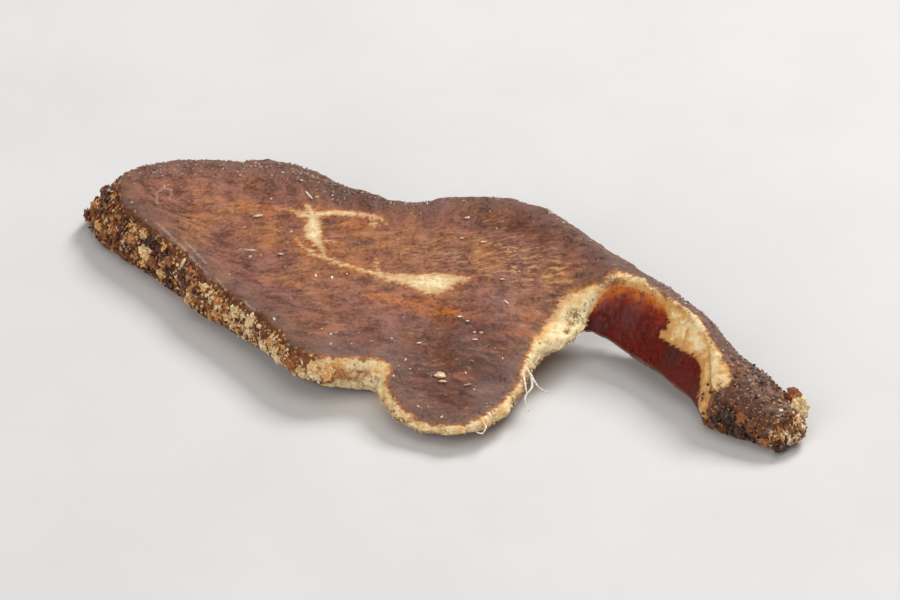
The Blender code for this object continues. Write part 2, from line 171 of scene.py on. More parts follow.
# Fat on the strip's face, and on the front rim: plan x, depth below the upper edge, half width.
STRIP_FAT = (
    ((18.6, 0, 0.15), (20.4, 0.5, 0.9), (21.8, 1.1, 1.7), (23.2, 0.9, 1.45), (24.6, 0.7, 1.3),
     (25.6, 1.1, 1.2)),
    ((21.4, 2.4, 0.7), (20.3, 2.7, 0.35)), ((25.8, 1.4, 0.9), (26.2, 3, 0.6), (26.1, 5.2, 0.6)),
)
FRONT_FAT = (
    ((-9.2, 0.4, 0.2), (-8.4, 0.9, 0.6), (-7.4, 2.1, 0.6), (-6, 2.9, 0.7), (-4.5, 3.1, 0.7),
     (-3, 3, 0.75), (-1.9, 1.7, 0.9), (-1.1, 1.2, 1.3), (-0.7, 1.2, 1.3)),
    ((-9, 0, 0.15), (-6, 0, 0.18), (-3, 0, 0.16), (-1, 0, 0.6)),
)
FRONT_RIM = (-9.6, -0.8)   # where along X the front rim is meat between fat
FRONT_LEAST = -0.24        # how fat that meat is at least

# Soft spots of colour on the cut face: strength, plan place and reach.
WARM_SPOTS = ((0.9, (-7, 2), (9, 4.6)), (0.6, (-22, 1.5), (7, 3.5)), (0.5, (8, 5.5), (5, 3)),
              (0.4, (-17, -3.5), (7, 2.5)))
# GLOW_SPOTS are a painted orange glow on the cut face.
GLOW_SPOTS = ((1.3, (-0.4, -2), (2.6, 1.1)), (0.6, (-4.6, -3.2), (2.6, 0.9)),
              (0.8, (4.8, -8.3), (1.3, 1)), (0.3, (-23, 3.3), (4.5, 0.9)), (0.3, (-12.5, 4.6), (3.5, 1)),
              (0.25, (-13, 0.6), (3, 1)), (0.5, (8.6, 5.4), (1.8, 1.2)), (0.5, (8, -1), (1.2, 2.4)))
GOLDEN_SPOTS = ((1, (4.5, 5), (6, 2.8)), (0.5, (-3, 3.5), (5, 1.6)), (0.8, (8.3, 5.6), (1.6, 1)),
                (0.5, (-24, 3.3), (4, 0.8)))

# Porous hollows in the fat: plan place and reach.
HOLLOWS = (((11, 3), (0.8, 1)), ((11, 1.6), (0.35, 0.5)), ((-15.4, 2.6), (0.45, 0.7)),
           ((10, -5.6), (0.5, 0.6)))

# Faint pale lines on the cut face: plan place of each point and half width.
LINES = (
    ((-30.9, 0.8, 0.02), (-31.8, 2, 0.05), (-31.4, 2.9, 0.05), (-30.5, 2.8, 0.03), (-30.1, 1.5, 0.02)),
    # A painted highlight along the ridge at the left tip.
    ((-36.2, 2.8, 0.12), (-35.7, 1.4, 0.18), (-34.4, -0.2, 0.12)),
    ((-27.5, -2.9, 0), (-25.8, -3.6, 0.07), (-23.6, -5, 0.05), (-21.8, -6.2, 0)),
    ((-26.6, -2.4, 0), (-24.4, -3.7, 0.05), (-22.6, -4.9, 0)),
    ((-20.8, -6.4, 0), (-18.4, -8.2, 0.07)),
    ((-29.8, -1.6, 0), (-28.4, -2.2, 0.06), (-27, -2.9, 0)),
    ((-16.6, -8.6, 0.05), (-14.4, -9.6, 0)),
    ((-20.8, -1.9, 0), (-19.7, -1.6, 0.12), (-18.9, -1.4, 0)),
    # Painted highlights along the back edge.
    ((-22.2, 9.6, -0.05), (-19.9, 9.7, 0.06)), ((-19.2, 9.4, 0.04), (-17.9, 9.2, 0), (-16.5, 9.1, 0.05)),
)
# Pale slivers and bits that lie on the cut face: plan place of each end, width and tone.
SLIVERS = (
    (-21.8, 2.3, -20.9, 3.3, 0.36, 1), (-18.8, 7.3, -17.6, 6.4, 0.34, 0.85),
    (-19.9, -1.8, -19.3, -1.5, 0.26, 0.75), (-17, -1.5, -16.4, -1.3, 0.34, 0.8),
    (4.7, 1.3, 5.6, 0.7, 0.24, 0.85), (0, 6, 0.6, 6.5, 0.4, 0.5), (3, -9.2, 4.2, -9, 1.15, 0.62),
    (3.9, -9.7, 4.5, -9.5, 0.5, 0.4), (6, -9, 6.5, -8.6, 0.4, 0.2), (2, -2.5, 2.4, -2.2, 0.36, 0.95),
    (2.9, -2.6, 3.2, -2.4, 0.24, 0.7), (0.1, -6.8, 0.5, -6.5, 0.34, 1), (4.4, -4.1, 4.8, -3.9, 0.3, 0.9),
    (-2.9, 8.6, -2.4, 8.9, 0.42, 0.85), (3.7, 2.7, 4.1, 2.9, 0.34, 0.75),
)

# Small crumbs, specks and shreds.
SCATTER_STEP = 0.5       # spacing of the rim places that carry them
UPPER_EDGE = 0.12        # how far down the rim its upper edge reaches, as a share
UPPER_EDGE_SHARE = 0.3   # how many of the small crumbs lie there
LEAST_SPICE = 0.12       # thickness of the crust below which there are none
FAR = 99.0               # further than any place of the slice
TRIES = 30               # places drawn for each speck that is wanted on the cut face
BARE_FRONT = (FRONT_RIM[0], 20.0)   # where along X the rim carries none, except at the back
BARE_BELOW = 9.0         # plan y from which it counts as the back
LAST_SHRED = 12.2        # plan x beyond which the fat has no torn shreds
CLUSTER = 1.3            # crumbs as near as this to each other mostly have like tones
# How much lighter or darker the crumbs are along X: red-brown at the left tip, dark beside it,
# golden further on, pale on the front rim's fat, and dark on the strip's blunt end.
TONES = ((-37, -33, -27, -21, -11, -9, -6.7, -6.1, -1, 25, 28, 31.5, 33, 36),
         (-0.10, -0.02, -0.08, 0.14, 0.26, 0.42, 0.42, 0.05, 0.10, -0.10, -0.30, -0.25, 0.14, 0.14))
BACK_FROM = 5.0          # plan y from which the crumbs lie on the back edge, where none are lighter

# White fibres that hang from the lobe's right edge: points in millimetres.
WHISKERS = (
    ((9.6, -3.9, 3.1), (10.4, -4.5, 3), (11.2, -5.2, 2.8), (11.9, -5.7, 2.7), (12.9, -5.8, 2.6)),
    ((10.6, -4.7, 3), (11.3, -5.9, 2.7), (11.2, -7.4, 2.5), (12.3, -8.7, 2.2)),
    ((9.7, -4.6, 2.9), (10.6, -5.9, 2.7), (11.2, -6.8, 2.4)),
    ((8.7, -12.1, 1.9), (9.2, -11.8, 2.1), (9.9, -12.2, 2), (9.9, -13, 1.7), (9.2, -13, 1.7)),
)
WHISKER_RADIUS = (0.15, 0.04)   # at a fibre's root and at its tip


def smooth_loop(points, step):
    """A closed Catmull-Rom curve through the points, as evenly spaced samples."""
    points = np.array(points, float)
    before, after, beyond = np.roll(points, 1, 0), np.roll(points, -1, 0), np.roll(points, -2, 0)
    fine = []
    for t in np.linspace(0, 1, CURVE_SAMPLES, endpoint=False):
        fine.append(0.5 * (2 * points + (after - before) * t
                           + (2 * before - 5 * points + 4 * after - beyond) * t ** 2
                           + (3 * points - before - 3 * after + beyond) * t ** 3))
    curve = np.stack(fine, axis=1).reshape(-1, 2)
    closed = np.vstack([curve, curve[:1]])
    along = np.concatenate([[0], np.cumsum(np.linalg.norm(np.diff(closed, axis=0), axis=1))])
    places = np.linspace(0, along[-1], round(along[-1] / step), endpoint=False)
    return np.stack([np.interp(places, along, closed[:, axis]) for axis in (0, 1)], axis=1)


def outward(curve):
    """Unit normals that point out of an anticlockwise curve."""
    tangent = np.roll(curve, -1, 0) - np.roll(curve, 1, 0)
    tangent /= np.linalg.norm(tangent, axis=1)[:, None]
    return np.stack([tangent[:, 1], -tangent[:, 0]], axis=1)


def softened(curve, reach):
    """The closed curve with each sample moved to the mean of those within reach of it."""
    return np.mean([np.roll(curve, shift, 0) for shift in range(-reach, reach + 1)], axis=0)


def ripple(place, size, depth=0.0):
    """Smooth noise from about -1 to 1 at a plan place, for bumps of the given size."""
    return noise.fractal(Vector((*place, depth)) / size, 0.8, 2.2, 3)


def outline(step, fray=0.0):
    """The rim line in plan, with the small nicks of its dried edge and, if asked, its fray."""
    height, size = NICK
    smooth = smooth_loop(OUTLINE, step)
    ragged = fray * (1 + 1.2 * blob(smooth, (6.0, -9.0), (8.0, 8.0)))
    nicks = np.array([height * ripple(place, size, 5.0) + deep * ripple(place, FRAY[1], 8.0)
                      for place, deep in zip(smooth, ragged)])
    return smooth + outward(smooth) * nicks[:, None]


def thin_plate(xs, ys, values):
    """A smooth surface over the plan that passes through the values at the places."""
    places = np.column_stack([xs, ys])
    count = len(places)

    def bend(points):
        gap = np.linalg.norm(points[:, None] - places[None], axis=2)
        return gap ** 2 * np.log(np.maximum(gap, 1e-6))

    flat = np.hstack([np.ones((count, 1)), places])
    system = np.zeros((count + 3, count + 3))
    system[:count, :count] = bend(places)
    system[:count, count:] = flat
    system[count:, :count] = flat.T
    weights = np.linalg.solve(system, np.concatenate([values, np.zeros(3)]))

    def surface(points):
        points = np.array(points, float)
        return bend(points) @ weights[:count] + weights[count] + points @ weights[count + 1:]

    return surface


TOP_FORM, THICK_FORM = (thin_plate(*np.array(FORM).T[[0, 1, column]]) for column in (2, 3))
LEAN_X, LEAN_Y = (thin_plate(*np.array(LEAN).T[[0, 1, column]]) for column in (2, 3))


def leaned(points, share):
    """Plan points moved by the lean, for a share of the way down."""
    return points + np.stack([LEAN_X(points), LEAN_Y(points)], axis=1) * share


def by_chunks(work, points, size=2000):
    """The work done on the points a few at a time, to keep its tables small."""
    return np.concatenate([work(points[i:i + size]) for i in range(0, len(points), size)])


def inset_of(points, rim):
    """The distance of each plan point from the rim line."""
    ahead = np.roll(rim, -1, 0)
    run = ahead - rim
    length = np.sum(run ** 2, axis=1)

    def nearest(some):
        offset = some[:, None] - rim[None]
        share = np.clip(np.sum(offset * run[None], axis=2) / length[None], 0, 1)
        return np.min(np.linalg.norm(offset - share[..., None] * run[None], axis=2), axis=1)

    return by_chunks(nearest, points)


def inside(points, rim):
    """Which of the plan points lie inside the rim line."""
    ahead = np.roll(rim, -1, 0)
    rise = np.where(ahead[:, 1] == rim[:, 1], 1e-9, ahead[:, 1] - rim[:, 1])

    def odd_crossings(some):
        x, y = some[:, :1], some[:, 1:]
        crosses = (rim[:, 1] > y) != (ahead[:, 1] > y)
        at = rim[:, 0] + (y - rim[:, 1]) * (ahead[:, 0] - rim[:, 0]) / rise
        return np.sum(crosses & (x < at), axis=1) % 2 == 1

    return by_chunks(odd_crossings, points)


def corner_radius(points):
    return np.minimum(CORNER, CORNER_SHARE * THICK_FORM(points))


def rounding(inset, radius):
    """How far the rounded edge lies below the face, at a distance inside the rim."""
    short = np.clip(radius - inset, 0, radius)
    return radius - np.sqrt(np.maximum(radius ** 2 - short ** 2, 0))


def waves(points, depth):
    """The slow waves of a dried face. Another depth gives other waves."""
    height, size = WAVE
    return np.array([height * ripple(p, size, depth) for p in points])


def upper_heights(points, inset):
    """Height of the upper face at plan points, given their distance from the rim."""
    height, size = GRAIN
    grain = np.array([height * ripple((p[0] / GRAIN_STRETCH, p[1]), size, 2.0) for p in points])
    return TOP_FORM(points) + (waves(points, 1.0) + grain) - rounding(inset, corner_radius(points))


def lower_heights(points, inset):
    """Height of the underside, which lies flat on z = 0 wherever the form would go below it."""
    bare = np.maximum(TOP_FORM(points) - THICK_FORM(points) + waves(points, 3.0), 0)
    return bare + rounding(inset, corner_radius(points))


def crust_here(place):
    """How thickly the seeds lie at a plan place, from 0 to 1."""
    return max(share * math.exp(-(math.dist(place, middle) / reach) ** 2) for middle, reach, share in CRUST)


def rim_places(rim, normals, share):
    """Points of the side, one for each rim place, a share of the way down from the upper edge."""
    height, size = CRAG
    top, low = upper_heights(rim, np.zeros(len(rim))), lower_heights(rim, np.zeros(len(rim)))
    z = top + (low - top) * share
    thin = np.minimum(1, THICK_FORM(rim) / FULL_BULGE)
    out = []
    for place, level in zip(rim, z):
        crust = BARE_CRAG + (1 - BARE_CRAG) * crust_here(place)
        crag = height * crust * noise.fractal(Vector((*place, level)) / size, 0.7, 2.1, 3)
        out.append(math.sin(math.pi * share) * (BULGE + crag))
    plan = leaned(rim, share) + normals * (np.array(out) * thin)[:, None]
    return np.column_stack([plan, z])


def step_up(values, low, high):
    """0 below low, 1 above high and a smooth step between."""
    share = np.clip((values - low) / (high - low), 0, 1)
    return share * share * (3 - 2 * share)


def band(points, lines):
    """How far inside the nearest line's width each point is, and negative outside it."""
    best = np.full(len(points), -FAR)
    for line in lines:
        for (x0, y0, w0), (x1, y1, w1) in zip(line, line[1:]):
            start, run = np.array((x0, y0)), np.array((x1 - x0, y1 - y0))
            share = np.clip((points - start) @ run / (run @ run), 0, 1)
            gap = np.linalg.norm(points - start - share[:, None] * run, axis=1)
            best = np.maximum(best, w0 + (w1 - w0) * share - gap)
    return best


def blob(points, middle, reach):
    """A soft spot, 1 at its middle, with a reach for each axis."""
    return np.exp(-np.sum(((points - np.array(middle)) / np.array(reach)) ** 2, axis=1))


def soft_spots(points, table):
    """The sum of the table's soft spots at each point."""
    return sum(strength * blob(points, middle, reach) for strength, middle, reach in table)


def flow(points, inset):
    """Coordinates along and across the muscle's grain."""
    along = points[:, 0] * math.cos(GRAIN_TURN) + points[:, 1] * math.sin(GRAIN_TURN)
    across = -points[:, 0] * math.sin(GRAIN_TURN) + points[:, 1] * math.cos(GRAIN_TURN)
    turned = TURN_SHARE * step_up(-inset, -TURN_REACH, -1.0) * step_up(-points[:, 0], -2.0, 6.0)
    return along, across * (1 - turned) + (inset - 6.0) * turned


def fine_relief(points, inset, fat, crumbly):
    """Fibres, pits, raised fat and crumbled crust on the upper face."""
    along, across = flow(points, inset)
    fibre, fibre_size = FIBRE
    calm = 1 - 0.6 * step_up(fat, -0.1, 0.15)
    bumps = [fibre * noise.fractal(Vector((a / FIBRE_STRETCH, c, 4.0)) / fibre_size, 0.7, 2.2, 4)
             for a, c in zip(along, across)]
    torn = np.array([torn_fat(Vector((*p, 0.0))) for p in points])
    rim_share = step_up(fat, 0.0, 0.3) * step_up(-inset, -2.2, -0.8)
    lumps = np.array([crumbled(Vector((*p, 3.0))) for p in points])
    return (np.array(bumps) * calm + SEAM_RISE * step_up(fat, -0.15, 0.2) + torn * rim_share
            + lumps * crumbly - HOLLOW_DEPTH * hollow_here(points) * step_up(-inset, -2.5, -1.0))


def hollow_here(points):
    """1 in the middle of a hollow in the fat, 0 away from them all."""
    return np.max([blob(points, middle, reach) for middle, reach in HOLLOWS], axis=0)


def crumbled(place):
    """Height of the crumbly crust at a place."""
    height, size = CRUMBLE
    near = noise.voronoi(place / size)[0][0]
    return height * (0.5 - near) + 0.35 * height * noise.fractal(place / (0.35 * size), 0.7, 2.1, 2)


def torn_fat(place):
    """Height of the torn fat at a place: ragged, with small pits."""
    height, size = FAT_CRAG
    ragged = noise.fractal(place / size, 0.7, 2.2, 3)
    pit = max(0.0, 0.35 - noise.voronoi(place / (1.4 * size))[0][0])
    return height * (ragged - 1.2 * pit)


def rim_relief(points, crust, fat):
    """Packed lumps and grit of the crust, or torn fat, as a height outwards from the rim."""
    lump, lump_size = LUMP
    grit, grit_size = GRIT
    bumps = []
    for point, share, fatness in zip(points, crust, step_up(fat, -0.1, 0.2)):
        place = Vector(point)
        near = noise.voronoi(place / lump_size)[0][0]
        fine = noise.fractal(place / grit_size, 0.7, 2.1, 3)
        bare = 0.07 * fine + torn_fat(place) * fatness
        bumps.append((lump * (0.55 - near) + grit * fine) * share + bare * (1 - share))
    return np.array(bumps)


class Shell:
    """Vertices, triangles and per-vertex values of a mesh that is built in parts."""

    def __init__(self):
        self.verts, self.faces, self.values = [], [], {}
        self.count = 0

    def add(self, points, **values):
        """Append points with their values, and return the index of the first."""
        first = self.count
        self.verts.append(points)
        self.count += len(points)
        for name, value in values.items():
            self.values.setdefault(name, []).append(np.broadcast_to(value, len(points)))
        return first

    def object(self, name, smooth=True):
        """The mesh as an object in metres, with the plan place ORIGIN over the frame's origin."""
        points = (np.vstack(self.verts) - np.array((*ORIGIN, 0))) * MM
        mesh = bpy.data.meshes.new(name)
        mesh.from_pydata(points.tolist(), [], self.faces)
        for value_name, parts in self.values.items():
            attribute = mesh.attributes.new(value_name, "FLOAT", "POINT")
            attribute.data.foreach_set("value", np.concatenate(parts).astype(np.float32))
        if smooth:
            mesh.shade_smooth()
        thing = bpy.data.objects.new(name, mesh)
        bpy.context.scene.collection.objects.link(thing)
        return thing


def field_points(rim, step):
    """Points inside the rim: one row that follows it and an even field."""
    row = rim - outward(rim) * EDGE_INSET
    row = row[(inset_of(row, rim) > 0.93 * EDGE_INSET) & inside(row, rim)]
    low, high = rim.min(0), rim.max(0)
    xs = np.arange(low[0], high[0], step)
    lines = [np.column_stack([xs + step / 2 * (line % 2), np.full(len(xs), y)])
             for line, y in enumerate(np.arange(low[1], high[1], step * math.sqrt(3) / 2))]
    field = np.vstack(lines)
    field = field[inside(field, rim)]
    return np.vstack([row, field[inset_of(field, rim) > EDGE_INSET + step * 0.5]])


def triangulated(rim, points):
    """Triangles over the rim and the points inside it, as indices with the rim's samples first."""
    loose = [Vector(p) for p in np.vstack([rim, points])]
    placed, _, triangles, _, _, _ = delaunay_2d_cdt(loose, [], [list(range(len(rim)))], 1, 1e-7)
    assert len(placed) == len(loose)
    return triangles


def face_values(points, inset):
    """What the material needs to know at each place of a cut face."""
    along, across = flow(points, inset)
    crust = np.array([crust_here(p) for p in points])
    fat = np.maximum(band(points, SEAMS), band(points, RIM_FAT))
    return {"along": along, "across": across, "fat": fat, "inset": inset, "crust": crust, "depth": 0.0,
            "warm": soft_spots(points, WARM_SPOTS), "golden": soft_spots(points, GOLDEN_SPOTS),
            "glow": soft_spots(points, GLOW_SPOTS), "crumbly": crumbly_here(points), "strip": 0.0,
            "line": band(points, LINES), "shade": painted_shade_here(points), "hollow": hollow_here(points),
            "end": end_here(points)}


def painted_shade_here(points):
    """How much painted shade darkens the meat: over the hanging lobe and towards the strip, along the back
    edges and over the front.
    """
    lobe = blob(points, (5.0, -8.0), (8.0, 7.0))
    neck = 0.75 * blob(points, (15.0, 8.5), (7.0, 3.5))
    right_back = 0.7 * blob(points, (4.0, 9.5), (10.0, 3.0))
    left_back = 0.8 * blob(points, (-14.0, 9.2), (9.0, 3.2))
    front = 0.4 * step_up(-points[:, 1], 1.0, 8.0) * step_up(points[:, 0], -22.0, -8.0)
    return np.max([lobe, neck, right_back, left_back, front], axis=0)


def end_here(points):
    """How far a place lies over the line where the strip's top turns down to its blunt end."""
    line = np.interp(points[:, 0], (26.0, 28.1, 31.3, 35.0), (-2.2, 0.6, -0.1, -1.8))
    return step_up(points[:, 0], 25.8, 26.6) * step_up(line - points[:, 1], -0.3, 0.5)


def crumbly_here(points):
    """How crumbly the crust is over the strip: all of its end and some of its back."""
    end = step_up(points[:, 0], 26.6, 28.6)
    back = 0.55 * step_up(points[:, 0], 16.0, 22.0)
    return np.maximum(end, back)


def strip_side(rim, normals):
    """1 on the face that the strip turns to the front, 0 elsewhere round the rim."""
    reach = step_up(rim[:, 0], 11.6, 12.6) * (1 - step_up(rim[:, 0], 26.2, 27.4))
    return reach * step_up(-normals[:, 1], -0.25, 0.1)


def add_side(shell):
    """Add the slice's side as rows of points, and return the rim line and each row's first point."""
    rim, calm = outline(FINE_STEP, FRAY[0]), outline(FINE_STEP)
    strip = strip_side(rim, outward(calm))
    calm = calm + (softened(calm, STRIP_SOFTENING) - calm) * strip[:, None]
    normals = outward(calm)
    crust = np.array([crust_here(p) for p in rim])
    thick = THICK_FORM(rim)
    rim_fat = band(rim, RIM_FAT)
    front = (rim[:, 0] > FRONT_RIM[0]) & (rim[:, 0] < FRONT_RIM[1]) & (rim[:, 1] < 0)
    along, across = flow(rim, np.zeros(len(rim)))
    # The rim's glow is painted light: at the left tip and on the front rim between its fat.
    same = {"along": along, "warm": 0.0, "golden": 0.0, "inset": 0.0, "hollow": 0.0, "line": -FAR,
            "glow": np.maximum(blob(rim, (-36.0, 0.5), (5.0, 3.5)), front), "crust": crust, "strip": strip,
            "crumbly": crumbly_here(rim), "shade": painted_shade_here(rim), "end": 1.0}
    rows = []
    for row in range(RIM_ROWS + 1):
        share = row / RIM_ROWS
        frayed = np.where(strip > 0.5, (1 - share) ** 4, 1.0)[:, None]
        points = rim_places(calm + (rim - calm) * frayed, normals, share)
        depth = share * thick
        unrolled = np.column_stack([rim[:, 0], depth])
        strip_fat = np.maximum(band(unrolled, STRIP_FAT), rim_fat - STRIP_FAT_LOSS * depth)
        front_fat = np.maximum(band(unrolled, FRONT_FAT), FRONT_LEAST)
        side_fat = np.where(front, front_fat, rim_fat - RIM_FAT_LOSS * depth)
        fat = np.where(strip > 0.5, strip_fat, side_fat)
        swell = math.sin(math.pi * (EDGE_RELIEF + (1 - 2 * EDGE_RELIEF) * share))
        out = rim_relief(points, crust, fat) * swell
        points[:, :2] += normals * out[:, None]
        points[:, 2] = np.maximum(points[:, 2], 0)
        rows.append(shell.add(points, across=across + points[:, 2], fat=fat, depth=depth, **same))
    count = len(rim)
    for upper, lower in zip(rows, rows[1:]):
        for i in range(count):
            after = (i + 1) % count
            shell.faces.append((upper + i, lower + i, lower + after))
            shell.faces.append((upper + i, lower + after, upper + after))
    return rim, rows


def add_face(shell, rim, edge, step, under):
    """Add the upper face or the underside, joined to the row of the side that starts at edge."""
    points = field_points(rim, step)
    inset = inset_of(points, rim)
    values = face_values(points, inset)
    if under:
        z = lower_heights(points, inset)
        placed = leaned(points, 1)
        values["warm"] = values["warm"] * 0.3
        values["depth"] = THICK_FORM(points)
        values["fat"] = values["fat"] - 2.0 * step_up(points[:, 0], 10.0, 12.5)
    else:
        near = step_up(inset, 0.0, 0.3)
        fine = fine_relief(points, inset, values["fat"], values["crumbly"])
        z = upper_heights(points, inset) + fine * near
        placed = points
    first = shell.add(np.column_stack([placed, z]), **values)
    count = len(rim)
    for triangle in triangulated(rim, points):
        corners = [edge + i if i < count else first + i - count for i in triangle]
        shell.faces.append(corners[::-1] if under else corners)


def slice_shell():
    """The whole slice at full detail, with the values that its material reads."""
    shell = Shell()
    rim, rows = add_side(shell)
    add_face(shell, rim, rows[0], FINE_STEP, under=False)
    add_face(shell, rim, rows[-1], UNDER_STEP, under=True)
    return shell


def rim_line(step):
    """The rim line and its normals."""
    rim = outline(step)
    return rim, outward(rim)


def rim_point(rim, normals, i, share):
    """The point of the side at one rim place."""
    return Vector(rim_places(rim[i:i + 1], normals[i:i + 1], share)[0])


def seed_places(chance):
    """Middles, normals and sizes of the larger seed pieces, where the solid has them."""
    rim, normals = rim_line(COARSE_STEP)
    places = []
    while len(places) < COUNT:
        i = chance.randrange(len(rim))
        share = chance.uniform(0.05, 0.9)
        size = chance.uniform(*SEED_SIZE)
        thickness = crust_here(rim[i])
        if thickness < LEAST_CRUST or chance.random() > thickness:
            continue
        at = rim_point(rim, normals, i, share)
        lean = math.cos(math.pi * share)
        normal = Vector((normals[i][0], normals[i][1], lean * 0.8)).normalized()
        middle = at - normal * SEED_SUNK * size
        middle.z = max(middle.z, size * 0.45)
        if all((middle - other).length > SEED_APART * (size + wide) / 2 for other, _, wide in places):
            places.append((middle, normal, size))
    return places + [(Vector(middle), Vector((1, 0, 0.4)), size) for middle, size in CRUMBS]


def dress(piece, material):
    piece.data.materials.append(material)
    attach(piece, "root")


def ball(rounds):
    """Corners and triangles of a round lump to shape pieces from."""
    shell = bmesh.new()
    bmesh.ops.create_icosphere(shell, subdivisions=rounds, radius=0.5)
    corners = np.array([v.co[:] for v in shell.verts])
    faces = [[v.index for v in f.verts] for f in shell.faces]
    shell.free()
    return corners, faces


def scatter(chance, name, material, places, rounds, flatness, roughness):
    """One piece of uneven lumps: each has a middle, a normal and a size, some an angle, width and tone."""
    corners, faces = ball(rounds)
    shell = Shell()
    for middle, normal, size, *given in places:
        offset = Vector([chance.uniform(-50, 50) for _ in range(3)])
        lump = np.array([c * (1 + roughness * noise.fractal(Vector(c) * 3 + offset, 0.8, 2.1, 2)
                              + chance.uniform(-0.3, 0.3) * roughness) for c in corners])
        turn = Vector((0, 0, 1)).rotation_difference(Vector(normal)).to_matrix()
        spin = Matrix.Rotation(chance.uniform(0, math.tau), 3, "Z")
        group = Vector(middle) / CLUSTER + Vector((9.0, 4.0, 2.0))
        cluster = 0.5 + 0.75 * noise.fractal(group, 0.8, 2.1, 2)
        lift = np.interp(middle[0], *TONES)
        if middle[1] >= BACK_FROM:
            lift = min(lift, 0.0)
        tone = max(0.1, 0.8 * chance.random() + 0.4 * cluster - 0.1 + lift)
        shape = flatness
        if given:
            angle, width, tone = given
            spin = Matrix.Rotation(angle, 3, "Z")
            shape = (1.0, width / size, 0.5 * width / size)
        placed = (lump * np.array(shape) * size) @ np.array(turn @ spin).T + np.array(middle)
        first = shell.add(placed, tone=tone)
        shell.faces += [[first + i for i in face] for face in faces]
    dress(shell.object(name, smooth=False), material)


def skewed(chance, sizes):
    """A random size between the two given, mostly near the smaller."""
    return sizes[0] + (sizes[1] - sizes[0]) * chance.random() ** 2


def rim_scatter(chance, count, sizes, proud):
    """Places for small crumbs on the crusted rim, a share of them at its upper edge."""
    rim, normals = rim_line(SCATTER_STEP)
    places = []
    while len(places) < count:
        i = chance.randrange(len(rim))
        thickness = crust_here(rim[i])
        bare = BARE_FRONT[0] < rim[i][0] < BARE_FRONT[1] and rim[i][1] < BARE_BELOW
        if bare or thickness < LEAST_SPICE or chance.random() > thickness ** 0.7:
            continue
        share = chance.uniform(0.0, UPPER_EDGE if chance.random() < UPPER_EDGE_SHARE else 0.97)
        at = rim_point(rim, normals, i, share)
        size = chance.uniform(*sizes)
        lean = math.cos(math.pi * share)
        x, y = normals[i]
        normal = Vector((x + chance.uniform(-0.5, 0.5), y + chance.uniform(-0.5, 0.5), lean))
        inwards = 0.9 * chance.random() ** 2 * (share < UPPER_EDGE)
        at += Vector((x, y, 0.0)) * (proud - inwards)
        at.z += lean * proud * 0.6 + inwards * 0.5
        at.z = max(at.z, size * 0.3)
        places.append((at, normal.normalized(), size))
    return places


def fat_shreds(chance, count):
    """Places for torn shreds on the fat rim."""
    rim, normals = rim_line(SCATTER_STEP)
    fat = band(rim, RIM_FAT)
    places = []
    while len(places) < count:
        i = chance.randrange(len(rim))
        if fat[i] < 0.1 or rim[i][0] > LAST_SHRED:
            continue
        share = chance.uniform(0.1, 1.0)
        at = rim_point(rim, normals, i, share) + Vector((*normals[i], 0.0)) * 0.12
        normal = Vector([chance.uniform(-1, 1) for _ in range(3)]).normalized()
        size = skewed(chance, (0.16, 0.55)) * min(1.0, 0.5 + 0.3 * THICK_FORM(rim[i:i + 1])[0])
        places.append((at, normal, size))
    return places


def on_top(spots, lift=0.0):
    """Points of the upper face over plan places, raised a little."""
    spots = np.array(spots, float)
    heights = upper_heights(spots, inset_of(spots, outline(SCATTER_STEP)))
    return [Vector((x, y, z + lift)) for (x, y), z in zip(spots, heights)]


def top_scatter(chance, count, sizes, least_inset, xs=(-FAR, FAR), ys=(-FAR, FAR), most_inset=FAR,
                most_fat=-0.1):
    """Places for specks on the cut face, between limits in plan, so far from the rim and off the fat."""
    rim = outline(SCATTER_STEP)
    low, high = rim.min(0), rim.max(0)
    spots = np.array([(chance.uniform(low[0], high[0]), chance.uniform(low[1], high[1]))
                      for _ in range(count * TRIES)])
    for axis, (least, most) in enumerate((xs, ys)):
        spots = spots[(spots[:, axis] > least) & (spots[:, axis] < most)]
    spots = spots[inside(spots, rim)]
    inset = inset_of(spots, rim)
    lean = band(spots, SEAMS + RIM_FAT) < most_fat
    spots = spots[(inset > least_inset) & (inset < most_inset) & lean][:count]
    places = []
    for point in on_top(spots):
        size = skewed(chance, sizes)
        tilt = Vector((chance.uniform(-0.4, 0.4), chance.uniform(-0.4, 0.4), 1)).normalized()
        places.append((point, tilt, size))
    return places


def sliver_places():
    """Places of the named slivers, each with its direction, width and tone."""
    places = []
    for x0, y0, x1, y1, width, tone in SLIVERS:
        point = on_top([((x0 + x1) / 2, (y0 + y1) / 2)], 0.06)[0]
        length = 0.9 * math.dist((x0, y0), (x1, y1))
        places.append((point, (0, 0, 1), length, math.atan2(y1 - y0, x1 - x0), 0.65 * width, tone))
    return places


def whiskers():
    """Thin fibres as tapering tubes, each swept along its points."""
    shell = Shell()
    steps, sides = 16, 6
    for points in WHISKERS:
        points = np.array(points, float)
        at = np.linspace(0, len(points) - 1, steps)
        path = np.stack([np.interp(at, range(len(points)), points[:, axis]) for axis in range(3)], axis=1)
        path[1:-1] = (path[:-2] + path[1:-1] + path[2:]) / 3
        run = np.gradient(path, axis=0)
        for step, (middle, heading) in enumerate(zip(path, run)):
            heading = Vector(heading).normalized()
            side = heading.cross(Vector((0, 0, 1))).normalized()
            side, over = np.array(side), np.array(side.cross(heading))
            radius = np.interp(step / len(path), (0, 1), WHISKER_RADIUS)
            ring = [middle + radius * (math.cos(turn) * side + math.sin(turn) * over)
                    for turn in np.linspace(0, math.tau, sides, endpoint=False)]
            first = shell.add(np.array(ring), tone=1.0)
            if step:
                for i in range(sides):
                    after = (i + 1) % sides
                    shell.faces.append((first + i, first + after, first - sides + after, first - sides + i))
            if step in (0, len(path) - 1):
                cap = [first + i for i in range(sides)]
                shell.faces.append(cap if step == 0 else cap[::-1])
    return shell.object("white_fibres")


